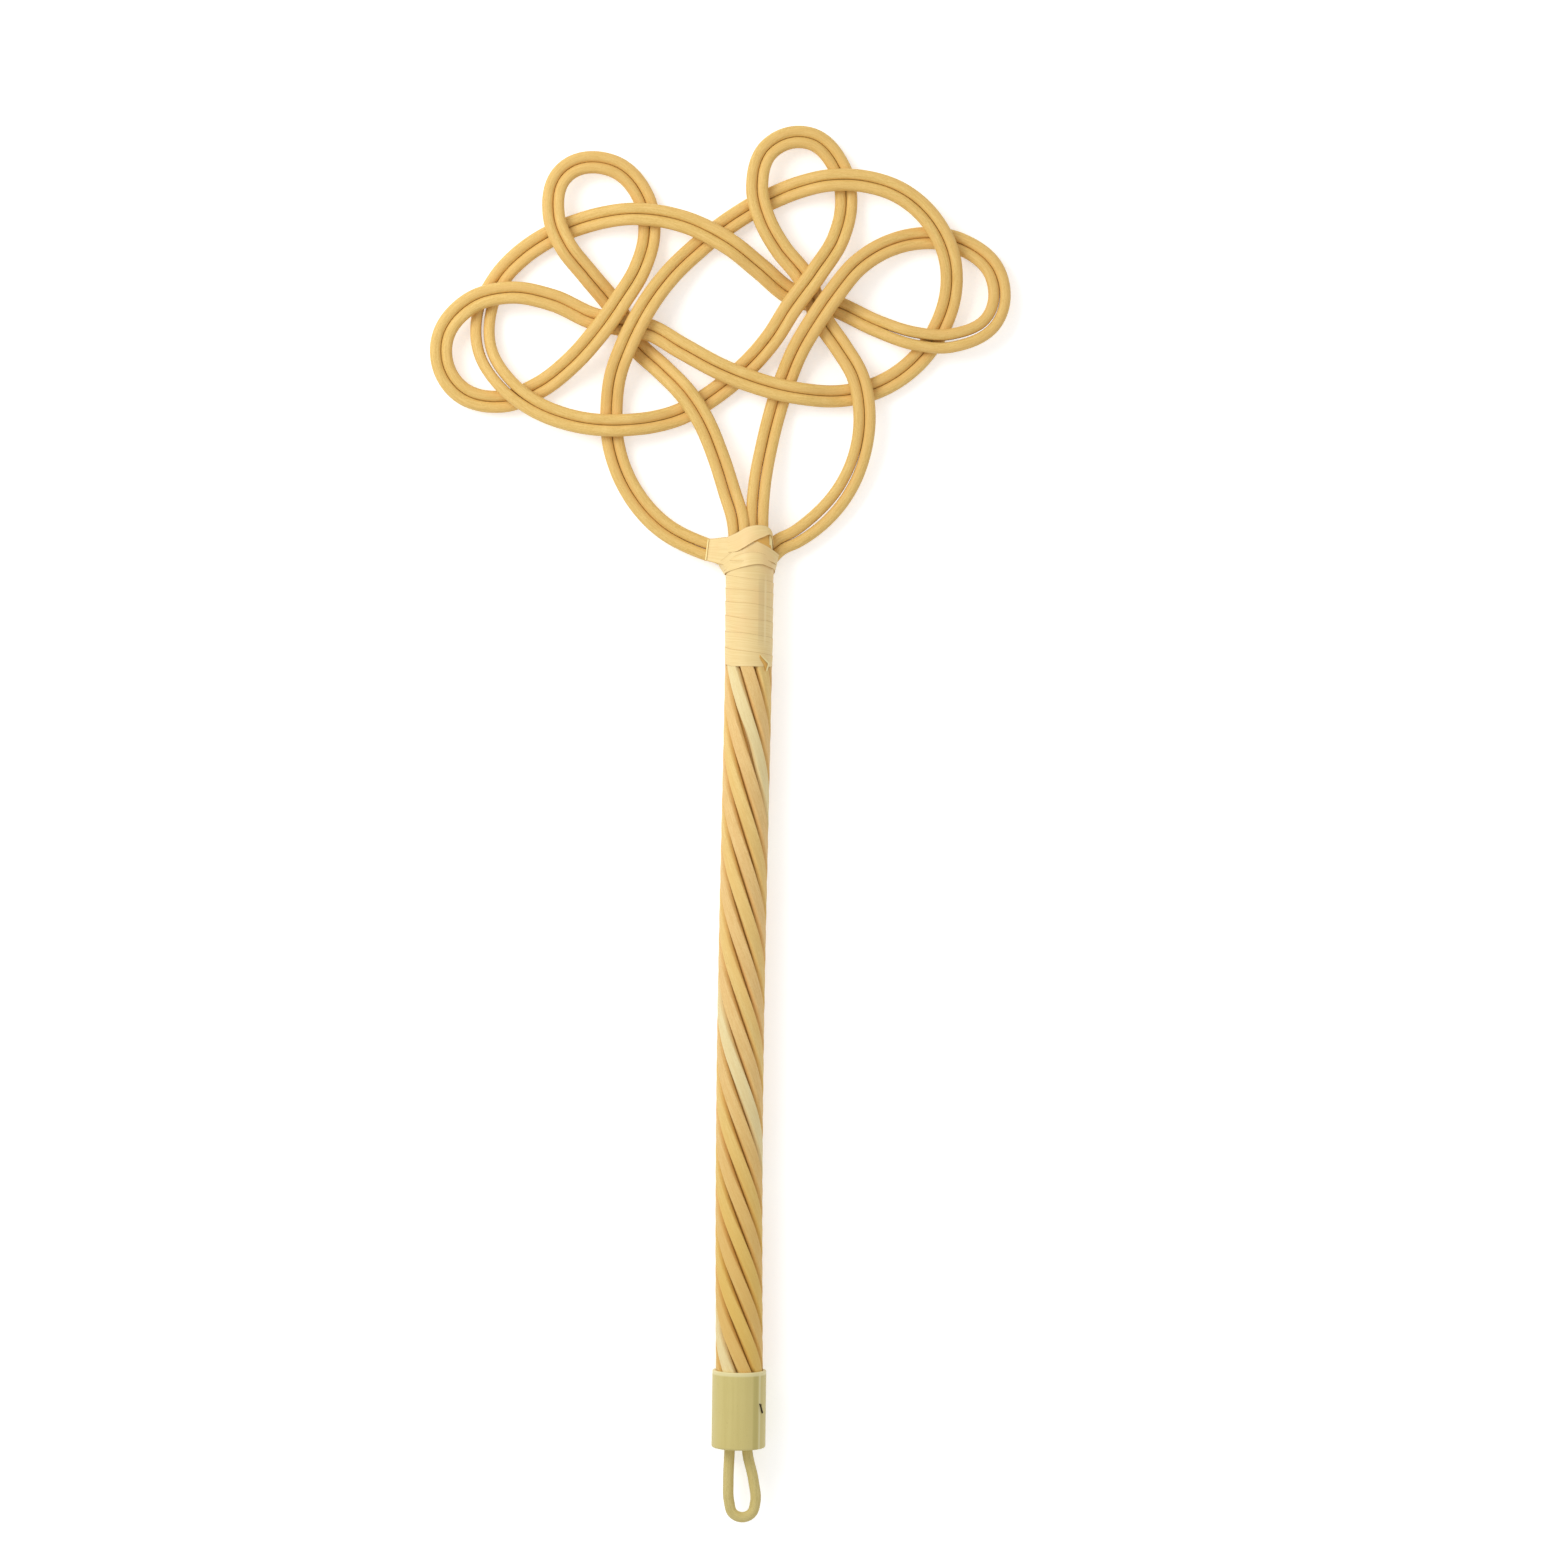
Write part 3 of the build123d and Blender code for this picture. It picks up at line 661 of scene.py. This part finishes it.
def swell(share_along, side):
    """The slight thick and thin places of a real cane, as a factor of its radius."""
    return 1 + 0.010 * math.sin(share_along * 61 + side) + 0.008 * math.sin(share_along * 143)


def knot_cane(name, route, slack, side, start_slot, end_slot):
    """One cane of the knot, on one side of its route."""
    line = knot_line(route, slack, side, start_slot, end_slot)

    def section(share_along, share_round):
        aside, above = squared_round(share_round, knot_cane_squareness)
        radius = knot_cane_radius * swell(share_along, side)
        return radius * side * aside, radius * above

    piece = rod(name, line, [Vector((0, 0, 1))] * len(line), section, knot_cane_sides)
    finished(piece, golden_cane, "golden_cane", name)


knot_cane("knot_cane_left_1", inner_left_route, no_slack, 1, 3, 5)
knot_cane("knot_cane_left_2", inner_left_route, no_slack, -1, 2, 4)
knot_cane("knot_cane_right_1", inner_right_route, inner_right_slack, 1, 1, 7)
knot_cane("knot_cane_right_2", inner_right_route, inner_right_slack, -1, 0, 6)

# The handle: canes twisted round the axis, which bows a little sideways
top_pitch = 170.0
bottom_pitch = 132.0
handle_bow = 1.4
handle_cane_half_depth = 2.6
handle_cane_squareness = 7
handle_cane_clearance = 0.02
handle_cane_step = 2.2
handle_cane_sides = 32
# The pale cane, and the slit that opens beside it
pale_slot = 3
slit_drop = 84.0
slit_half_length = 17
slit_opening = 0.34


def twist_rate(drop):
    """Turn of the handle's canes round the axis, in radians per millimetre of drop."""
    share = min(max((drop - binding_bottom_drop) / (cap_top_drop - binding_bottom_drop), 0), 1)
    pitch = top_pitch + (bottom_pitch - top_pitch) * share
    begun = eased((drop - splice_drop) / (binding_bottom_drop - splice_drop))
    ended = eased((handle_bottom_drop - drop) / (handle_bottom_drop - cap_top_drop))
    return 2 * math.pi / pitch * begun * ended


def twisted_drops(top, bottom, step):
    """Drops at even steps and the angle turned down to each."""
    count = math.ceil((bottom - top) / step)
    rows = [(top, 0.0)]
    for _ in range(count):
        drop, turned = rows[-1]
        following = drop + (bottom - top) / count
        turned += twist_rate((drop + following) / 2) * (following - drop)
        rows.append((following, turned))
    return rows


def bow_at(drop):
    """How far the handle bends sideways at a drop."""
    share = (drop - binding_bottom_drop) / (cap_top_drop - binding_bottom_drop)
    inside = min(max(share, 0.0), 1.0)
    return -handle_bow * math.sin(math.pi * inside ** 1.25)


def handle_cane(slot, material, slot_name):
    """One cane of the handle, flattened where it meets its neighbours."""
    line = []
    outward = []
    for drop, turned in twisted_drops(splice_drop + end_gap, handle_bottom_drop, handle_cane_step):
        angle = math.radians((slot + 0.5) * slot_angle) - turned
        away = Vector((math.cos(angle), 0.0, math.sin(angle)))
        line.append(Vector((bow_at(drop), -drop, axis_height)) + away * ring_radius)
        outward.append(away)

    length = handle_bottom_drop - splice_drop

    def section(share_along, share_round):
        aside, above = squared_round(share_round, handle_cane_squareness)
        drop = splice_drop + share_along * length
        lead = math.atan(twist_rate(drop) * ring_radius)
        half_chord = ring_radius * math.sin(math.pi / cane_end_count)
        half_width = half_chord * math.cos(lead) - handle_cane_clearance
        opened = 0.0
        if slot == pale_slot:
            opened = slit_opening * eased(1 - abs(drop - slit_drop) / slit_half_length)
        return (half_width - opened) * aside + opened, handle_cane_half_depth * above

    name = f"handle_cane_{slot + 1}"
    piece = rod(name, line, outward, section, handle_cane_sides)
    finished(piece, material, slot_name, name)


for slot in range(cane_end_count):
    if slot == pale_slot:
        handle_cane(slot, handle_pale, "pale_cane")
    elif slot % 2:
        handle_cane(slot, handle_golden, "golden_cane")
    else:
        handle_cane(slot, handle_tan, "tan_cane")

# The binding, one flat strip that crosses the crotch and then winds down the neck. Each row
# holds the places of the strip's two edges, as x, y and height.
strip_thickness = 0.24
strip_step = 0.7
pass_columns = 10
fold_columns = 4
# Over the front to the upper right, behind the legs, and round the outer left legs
first_pass = [
    ((-9.9, 4.4, 15.9), (-9.4, -2.6, 16.3)), ((-5.9, 6.1, 17.5), (-5.8, -2.2, 19.3)),
    ((-1.9, 8.4, 18.6), (-2.5, -0.5, 21.05)), ((2.9, 9.5, 19.0), (2.1, 2.4, 20.7)),
    ((6.85, 9.2, 17.6), (6.0, 4.3, 19.2)), ((8.7, 8.0, 15.9), (8.9, 5.3, 17.0)),
    ((9.7, 6.2, 13.6), (10.1, 1.2, 14.0)), ((9.6, 4.6, 10.6), (10.2, -2.2, 11.0)),
    ((7.6, 4.6, 7.6), (7.6, -2.6, 7.4)), ((1.0, 4.2, 4.6), (0.6, -3.4, 4.2)),
    ((-7.0, 4.0, 3.2), (-7.6, -4.4, 2.9)), ((-13.6, 4.0, 2.8), (-14.4, -5.0, 2.6)),
    ((-17.4, 4.0, 3.0), (-18.2, -5.6, 2.9)), ((-18.7, 3.8, 4.6), (-19.8, -5.8, 4.6)),
    ((-18.9, 3.7, 6.8), (-19.9, -5.9, 6.9)), ((-18.0, 3.7, 9.2), (-19.0, -6.0, 9.5)),
    ((-15.0, 3.9, 11.8), (-16.0, -6.8, 11.6)), ((-12.0, 4.2, 14.3), (-13.2, -7.6, 13.7)),
    ((-9.9, 4.3, 15.5), (-10.5, -8.2, 15.8)), ((-6.0, 4.2, 17.2), (-7.0, -8.4, 18.5)),
    ((-2.5, 3.6, 19.6), (-3.5, -8.4, 21.2)),
]
# From behind the left side across the front and round the right side
second_pass = [
    ((-1.0, -4.0, 2.0), (-1.0, -10.0, 1.5)), ((-8.2, -4.2, 4.2), (-7.6, -10.2, 4.0)),
    ((-12.4, -5.2, 8.4), (-10.4, -10.4, 8.2)), ((-13.6, -6.2, 11.6), (-11.3, -10.6, 11.8)),
    ((-12.6, -6.0, 14.4), (-10.6, -10.2, 15.2)), ((-9.4, -3.6, 17.0), (-8.2, -8.9, 18.2)),
    ((-5.0, -0.2, 18.9), (-4.8, -7.1, 20.6)), ((-1.9, 2.0, 19.8), (-1.7, -6.1, 21.6)),
    ((1.4, 2.9, 19.8), (2.2, -5.6, 21.6)), ((4.4, 1.8, 19.6), (5.4, -5.5, 20.6)),
    ((7.3, 0.45, 18.0), (8.2, -6.1, 18.5)), ((10.1, -1.2, 15.2), (10.4, -6.9, 16.2)),
    ((12.3, -2.7, 12.0), (11.3, -7.4, 13.4)), ((12.7, -3.2, 9.4), (11.2, -7.6, 10.6)),
    ((11.2, -3.2, 6.4), (9.6, -7.8, 7.0)), ((7.0, -3.0, 3.8), (6.4, -8.4, 3.7)),
    ((1.0, -3.4, 2.2), (0.8, -9.2, 1.5)),
]
# The pass below it, of which only the lower border shows from above
third_pass = [
    ((-1.0, -8.0, 1.4), (-1.0, -12.6, 1.3)), ((-7.6, -7.6, 3.0), (-7.0, -12.6, 3.0)),
    ((-13.2, -7.0, 5.6), (-10.3, -12.1, 5.6)), ((-14.2, -7.0, 8.6), (-11.2, -11.8, 8.8)),
    ((-12.8, -7.0, 12.2), (-10.9, -11.9, 12.0)), ((-10.6, -6.4, 15.4), (-10.2, -11.3, 15.7)),
    ((-8.3, -5.0, 17.6), (-8.3, -10.7, 18.6)),
    ((-5.2, -3.8, 20.0), (-5.2, -9.8, 21.2)), ((-1.7, -2.8, 21.4), (-1.7, -8.8, 22.9)),
    ((2.2, -2.4, 21.4), (2.2, -8.0, 22.9)), ((5.4, -3.0, 20.2), (5.6, -7.9, 21.6)),
    ((8.0, -4.0, 18.1), (8.0, -8.7, 19.4)), ((10.0, -5.2, 15.6), (10.0, -9.4, 16.7)),
    ((11.6, -5.6, 12.4), (10.6, -9.7, 12.9)), ((12.3, -5.0, 8.6), (10.9, -10.8, 8.9)),
    ((11.4, -5.0, 5.6), (9.6, -11.8, 5.6)), ((7.0, -7.0, 3.2), (6.4, -12.6, 3.0)),
    ((1.0, -8.0, 1.8), (1.0, -12.0, 1.5)),
]
# The strip's turned face, seen in the window between the first two passes
turned_face = [
    ((0.6, 6.0, 19.6), (0.4, -1.0, 20.4)), ((3.4, 7.0, 19.1), (3.4, -1.4, 20.2)),
    ((6.4, 7.0, 17.6), (6.6, -1.8, 18.6)), ((8.7, 6.6, 15.6), (9.0, -2.2, 16.4)),
    ((9.6, 6.0, 13.2), (9.9, -2.4, 13.6)),
]
# The bright folds beside that window and along the left edge of the first pass
window_fold = [
    ((8.3, 6.2, 16.6), (9.3, 6.4, 15.6)), ((8.4, 3.0, 16.8), (9.6, 3.0, 15.2)),
    ((8.4, -0.2, 16.7), (9.8, -0.8, 14.8)),
]
left_fold = [
    ((-18.7, 3.4, 8.9), (-18.1, 3.4, 9.7)), ((-19.2, -1.0, 9.0), (-18.6, -1.1, 9.8)),
    ((-19.7, -5.5, 9.1), (-19.1, -5.6, 9.9)),
]
# Drop of the strip's upper edge at the front of each turn down the neck
turn_drops = [2.6, 6.4, 14.1, 19.0, 25.1, 31.4, 38.3, 45.8]
first_turn = 0.5
last_turn_share = 0.30
turn_steps = 72
turn_columns = 8
turn_overlap = 0.8
binding_end_drop = 52.5
neck_radius = 10.27
tuck = 0.24


def smooth_rows(rows, step):
    """Both edges of a strip at even steps, on smooth curves through the rows."""
    edges = []
    for side in (0, 1):
        points = [Vector(row[side]) for row in rows]
        last = len(points) - 1
        ways = [points[min(i + 1, last)] - points[max(i - 1, 0)] for i in range(last + 1)]
        edges.append((points, ways))
    dense = []
    for i in range(len(rows) - 1):
        span = max((points[i + 1] - points[i]).length for points, ways in edges)
        count = max(2, math.ceil(span / step))
        pair = []
        for points, ways in edges:
            scale = (points[i + 1] - points[i]).length / 3
            first = points[i] + ways[i].normalized() * scale
            second = points[i + 1] - ways[i + 1].normalized() * scale
            pair.append(interpolate_bezier(points[i], first, second, points[i + 1], count + 1)[:-1])
        dense += list(zip(*pair))
    dense.append((Vector(rows[-1][0]), Vector(rows[-1][1])))
    return dense


def ribbon(name, dense, columns, material):
    """A thin strip between two edges, given as pairs of points."""
    along = len(dense) - 1
    length = sum((b[0] + b[1] - a[0] - a[1]).length / 2 for a, b in zip(dense, dense[1:]))
    piece = sheet_of_faces(name, along, columns)
    laid_out(piece, along, length, lambda row, share: dense[row][0].lerp(dense[row][1], share))
    thicken = piece.modifiers.new("thickness", "SOLIDIFY")
    thicken.thickness = strip_thickness * millimetre
    thicken.offset = 0
    bpy.ops.object.modifier_apply(modifier=thicken.name)
    closed(ribbon_smooth_angle, rolled=False)
    finished(piece, material, "binding_strip", "neck_binding")


def turn_place(drops, turn):
    """The drop at a turn count, from the drops at whole turns."""
    number = min(int(turn), len(drops) - 2)
    share = turn - number
    return drops[number] + (drops[number + 1] - drops[number]) * share


def wobble(turn):
    """How far the hand-wound edges stray, over the turns."""
    return 0.22 * math.sin(turn * 9.1) + 0.12 * math.sin(turn * 23.0)


def neck_turns():
    """The turns down the neck, each one laid over the lower edge of the turn above."""
    upper_drops = turn_drops + [binding_end_drop]
    first = round(first_turn * turn_steps)
    last = round((len(turn_drops) - 1 + last_turn_share) * turn_steps)
    base = Vector((0.0, 0.0, axis_height))
    dense = []
    for number in range(first, last + 1):
        turn = number / turn_steps
        angle = math.radians(90 - 360 * turn)
        away = Vector((math.cos(angle), 0.0, math.sin(angle)))
        upper = turn_place(upper_drops, turn) + wobble(turn)
        lower = binding_end_drop
        if turn < len(turn_drops) - 1:
            lower = min(turn_place(upper_drops, turn + 1.0) + turn_overlap, binding_end_drop)
        if lower < binding_end_drop:
            lower += wobble(turn)
        top_edge = base + away * (neck_radius + tuck) - Vector((0, upper, 0))
        dense.append((top_edge, base + away * neck_radius - Vector((0, lower, 0))))
    ribbon("binding_turns", dense, turn_columns, binding_strip)


neck_turns()
for name, rows, columns, material in (
    ("binding_first_pass", first_pass, pass_columns, binding_strip),
    ("binding_second_pass", second_pass, pass_columns, binding_strip),
    ("binding_third_pass", third_pass, pass_columns, binding_strip),
    ("binding_turned_face", turned_face, pass_columns, binding_back_and_shade),
    ("binding_window_fold", window_fold, fold_columns, binding_fold),
    ("binding_left_fold", left_fold, fold_columns, binding_fold),
):
    ribbon(name, smooth_rows(rows, strip_step), columns, material)

# The strip's tail, folded under the last turn: its inside, darkened with painted shade where it goes
# under, and the bright fold over it.
# Each row holds the two edges again, as x and drop, laid on the neck's round.
tail_inside_shade = [
    ((5.0, 47.5), (4.9, 48.4)), ((5.9, 48.6), (5.5, 49.8)), ((7.0, 49.8), (6.6, 51.4)),
    ((8.1, 51.3), (7.3, 53.4)), ((7.9, 53.4), (7.4, 54.2)),
]
tail_fold = [
    ((4.9, 47.0), (5.2, 47.6)), ((6.3, 48.1), (6.3, 48.9)), ((7.9, 49.5), (7.6, 50.3)),
    ((9.1, 50.9), (8.4, 51.2)), ((8.8, 52.6), (8.1, 52.6)), ((8.1, 54.5), (7.7, 54.1)),
]
tail_inside_radius = 10.62
tail_fold_radius = 10.95
tail_step = 0.4


def on_neck(rows, radius):
    """The two edges' points in space, from rows of their x and drop."""
    laid = []
    for pair in rows:
        heights = [axis_height + math.sqrt(radius ** 2 - x ** 2) for x, drop in pair]
        laid.append(tuple(Vector((x, -drop, height)) for (x, drop), height in zip(pair, heights)))
    return laid


tail_inside_rows = on_neck(tail_inside_shade, tail_inside_radius)
tail_fold_rows = smooth_rows(on_neck(tail_fold, tail_fold_radius), tail_step)
ribbon("binding_tail_inside", tail_inside_rows, fold_columns, binding_back_and_shade)
ribbon("binding_tail_fold", tail_fold_rows, fold_columns, binding_fold)

# The hanging loop, one thin cane bent round with both ends in the cap; each row is a share of
# its width, from the axis, and a share of its reach below the cap
loop_rows = [
    (-0.37, 0.48), (-0.33, 0.78), (-0.18, 0.945), (0.175, 1.0),
    (0.53, 0.945), (0.68, 0.78), (0.60, 0.48),
]
half_leg_spacing = 3.85
loop_width = 11.4
loop_reach = 30.8
loop_cane_radius = 2.33
loop_step = 1.2
loop_sides = 20


def hanging_loop():
    """The bent cane, from its end in the cap out and back."""
    end_drop = handle_bottom_drop + end_gap
    points = [Vector((-half_leg_spacing, -end_drop, axis_height))]
    points.append(Vector((-half_leg_spacing, -cap_bottom_drop, axis_height)))
    for x, reach in loop_rows:
        points.append(Vector((x * loop_width, -cap_bottom_drop - reach * loop_reach, axis_height)))
    points.append(Vector((half_leg_spacing, -cap_bottom_drop, axis_height)))
    points.append(Vector((half_leg_spacing, -end_drop, axis_height)))
    flat = plan_directions([(point.x, point.y) for point in points])
    down = Vector((0, -1, 0))
    directions = [down, down] + [Vector((way.x, way.y, 0)) for way in flat[2:-2]] + [-down, -down]
    line = even_line(points, directions, loop_step)
    section = round_section(loop_cane_radius)
    piece = rod("hanging_loop", line, [Vector((0, 0, 1))] * len(line), section, loop_sides)
    finished(piece, loop_cane, "loop_cane", "hanging_loop")


hanging_loop()

# The staple: its crown lies a little aslant on the cap, its legs go through the wall. The
# crown's two ends are given as x and drop.
crown_ends = [(9.15, 375.4), (10.2, 379.4)]
staple_wire_radius = 0.34
crown_lift = 0.28
leg_depth = 1.6
shoulder_depth = 0.1
crown_bend = 0.4
staple_step = 0.15
staple_sides = 10


def staple():
    """The wire, from one leg's end over the crown to the other's."""
    feet = []
    for x, drop in crown_ends:
        away = Vector((x, 0.0, math.sqrt(cap_radius ** 2 - x ** 2))).normalized()
        feet.append((Vector((0.0, -drop, axis_height)), away))
    (first, first_away), (second, second_away) = feet
    start = first + first_away * (cap_radius + crown_lift)
    end = second + second_away * (cap_radius + crown_lift)
    along = (end - start).normalized()
    points = [
        first + first_away * (cap_radius - leg_depth),
        first + first_away * (cap_radius - shoulder_depth),
        start + along * crown_bend,
        end - along * crown_bend,
        second + second_away * (cap_radius - shoulder_depth),
        second + second_away * (cap_radius - leg_depth),
    ]
    directions = [first_away, first_away, along, along, -second_away, -second_away]
    line = even_line(points, directions, staple_step)
    ups = [along.cross(first_away)] * len(line)
    piece = rod("cap_staple_wire", line, ups, round_section(staple_wire_radius), staple_sides)
    finished(piece, dark_wire, "dark_wire", "cap_staple")


staple()

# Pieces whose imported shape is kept
for name, material, slot_name in (
    ("end_cap", cap_cream, "cap_cream"),
    ("handle_core", handle_tan, "tan_cane"),
):
    piece = nodes[name]
    dressed(piece, material)

# Floor and light, in metres; both the floor and the world are white where they are looked at
white = (1.0, 1.0, 1.0, 1.0)
floor_size = 12
floor_glow = 0.4
world_light = 0.62
key_light_place = (-0.6, 0.5, 0.75)
key_light_aim = Vector((-0.02, 0.1, 0.0))
key_light_size = 0.6
key_light_power = 5.2

bpy.ops.mesh.primitive_plane_add(size=floor_size, location=(0, 0, 0))
floor = bpy.context.object
floor.name = "floor"
floor_paint, tree, shader = started_material("floor_paint")
shader.inputs["Base Color"].default_value = white
shader.inputs["Roughness"].default_value = 0.9
shader.inputs["Specular IOR Level"].default_value = 0.0
shader.inputs["Emission Color"].default_value = white
tree.links.new(times(tree, seen_directly(tree), floor_glow), shader.inputs["Emission Strength"])
dressed(floor, floor_paint)

world = bpy.data.worlds.new("studio")
bpy.context.scene.world = world
world.use_nodes = True
tree = world.node_tree
background = tree.nodes["Background"]
background.inputs["Color"].default_value = white
strength = maths(tree, "MULTIPLY_ADD", seen_directly(tree), 1 - world_light, world_light)
tree.links.new(strength, background.inputs["Strength"])

bpy.ops.object.light_add(type="AREA", location=key_light_place)
key_light = bpy.context.object
key_light.name = "key_light"
key_light.data.shape = "SQUARE"
key_light.data.size = key_light_size
key_light.data.energy = key_light_power
key_light.rotation_euler = (key_light_aim - key_light.location).to_track_quat("-Z", "Y").to_euler()

# The camera looks straight down, turned by the beater's slight lean in the photograph
camera_place = (0.0300, 0.0179, 2.0078)
camera_distance = 2.0
half_view = 0.3446
sensor_width = 36
lean_across = 0.0130
lean_along = 0.9999

bpy.ops.object.camera_add(location=camera_place)
camera = bpy.context.object
camera.data.sensor_width = sensor_width
camera.data.lens = sensor_width / 2 / (half_view / camera_distance)
camera.rotation_euler = (0.0, 0.0, math.atan2(lean_across, lean_along))
bpy.context.scene.camera = camera
bpy.context.scene.view_settings.view_transform = "Standard"
